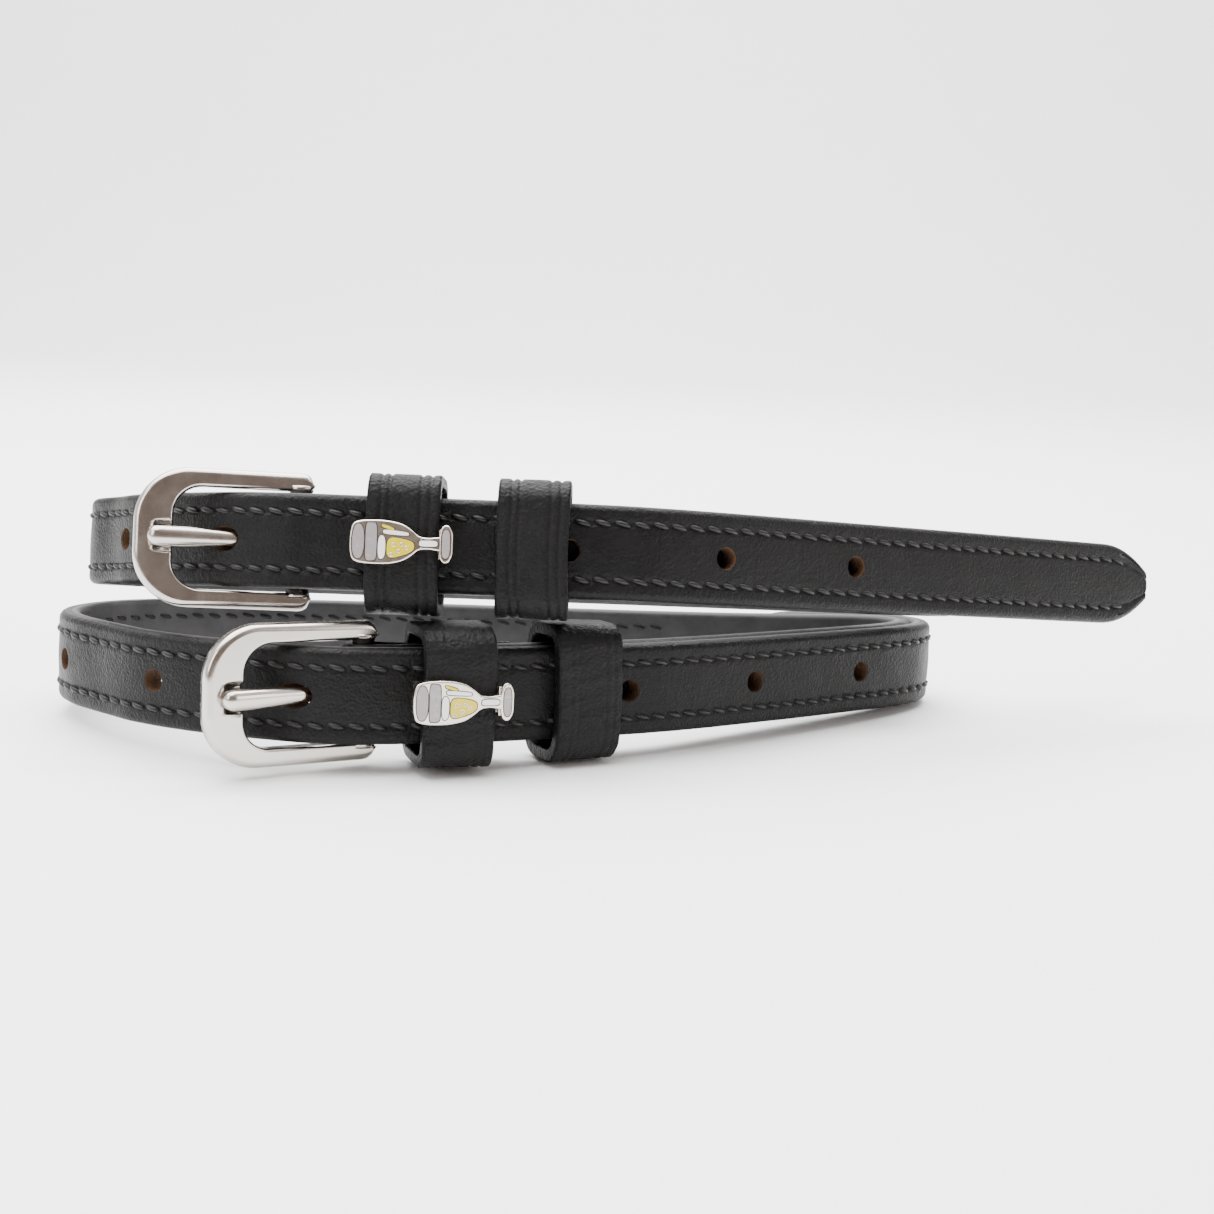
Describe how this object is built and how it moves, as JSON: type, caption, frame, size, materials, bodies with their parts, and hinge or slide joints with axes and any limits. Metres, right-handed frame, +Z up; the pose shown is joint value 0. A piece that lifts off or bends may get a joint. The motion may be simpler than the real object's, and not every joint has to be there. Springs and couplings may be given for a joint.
{
  "type": "pair of buckled leather spur straps",
  "caption": "Pair of narrow stitched leather straps, each buckled into a loop standing on its edge, with keepers, punched holes and a glass-shaped slide charm.",
  "frame": {"origin": "under the middle of the pair, on the surface it stands on", "axes": "+Z up; -Y is the buckle side; +X towards the pointed ends"},
  "size_m": [0.1866, 0.08, 0.0429],
  "materials": {
    "face_leather": "satin",
    "lining_leather": "satin",
    "thread": "satin",
    "stainless_steel": "polished",
    "keeper_leather": "satin",
    "charm_metal": "polished",
    "enamel_yellow": "gloss",
    "enamel_grey": "gloss",
    "enamel_white": "gloss"
  },
  "bodies": {
    "lower_strap": {"lower_face_leather": "face_leather", "lower_lining": "lining_leather", "lower_stitching_upper_row": "thread", "lower_stitching_lower_row": "thread", "lower_fixed_keeper": "keeper_leather"},
    "lower_buckle": {"lower_buckle_frame": "stainless_steel"},
    "lower_tongue": {"lower_buckle_tongue": "stainless_steel"},
    "lower_loose_keeper": {"lower_running_keeper": "keeper_leather"},
    "lower_charm": {"lower_charm_casting": "charm_metal", "lower_charm_enamel_yellow": "enamel_yellow", "lower_charm_enamel_grey": "enamel_grey", "lower_charm_enamel_white": "enamel_white"},
    "upper_strap": {"upper_face_leather": "face_leather", "upper_lining": "lining_leather", "upper_stitching_upper_row": "thread", "upper_stitching_lower_row": "thread", "upper_fixed_keeper": "keeper_leather"},
    "upper_buckle": {"upper_buckle_frame": "stainless_steel"},
    "upper_tongue": {"upper_buckle_tongue": "stainless_steel"},
    "upper_loose_keeper": {"upper_running_keeper": "keeper_leather"},
    "upper_charm": {"upper_charm_casting": "charm_metal", "upper_charm_enamel_yellow": "enamel_yellow", "upper_charm_enamel_grey": "enamel_grey", "upper_charm_enamel_white": "enamel_white"}
  },
  "joints": [
    {"name": "lower_buckle_swing", "type": "hinge", "parent": "lower_strap", "child": "lower_buckle", "pos_m": [-0.04158, -0.02615, 0.01133], "axis": [0, 0.0663, 0.9978], "range_deg": [0, 1.5]},
    {"name": "lower_tongue_lift", "type": "hinge", "parent": "lower_buckle", "child": "lower_tongue", "pos_m": [-0.04158, -0.02615, 0.01133], "axis": [0, 0.0663, 0.9978], "range_deg": [0, 3]},
    {"name": "lower_keeper_slide", "type": "slide", "parent": "lower_strap", "child": "lower_loose_keeper", "axis": [0.906, 0.4223, -0.0281], "range_m": [-0.004, 0.005]},
    {"name": "lower_charm_slide", "type": "slide", "parent": "lower_strap", "child": "lower_charm", "axis": [0, 0.0663, 0.9978], "range_m": [-0.0025, 0.0025]},
    {"name": "upper_buckle_swing", "type": "hinge", "parent": "upper_strap", "child": "upper_buckle", "pos_m": [-0.0523, -0.01645, 0.03133], "axis": [0, 0.1908, 0.9816], "range_deg": [0, 1.5]},
    {"name": "upper_tongue_lift", "type": "hinge", "parent": "upper_buckle", "child": "upper_tongue", "pos_m": [-0.0523, -0.01645, 0.03133], "axis": [0, 0.1908, 0.9816], "range_deg": [0, 3]},
    {"name": "upper_keeper_slide", "type": "slide", "parent": "upper_strap", "child": "upper_loose_keeper", "axis": [0.9992, -0.0386, 0.0075], "range_m": [-0.004, 0.005]},
    {"name": "upper_charm_slide", "type": "slide", "parent": "upper_strap", "child": "upper_charm", "axis": [0, 0.1908, 0.9816], "range_m": [-0.0025, 0.0025]},
    {"name": "upper_strap_lift", "type": "slide", "parent": "lower_strap", "child": "upper_strap", "axis": [0, 0, 1], "range_m": [0, 0.06]}
  ]
}
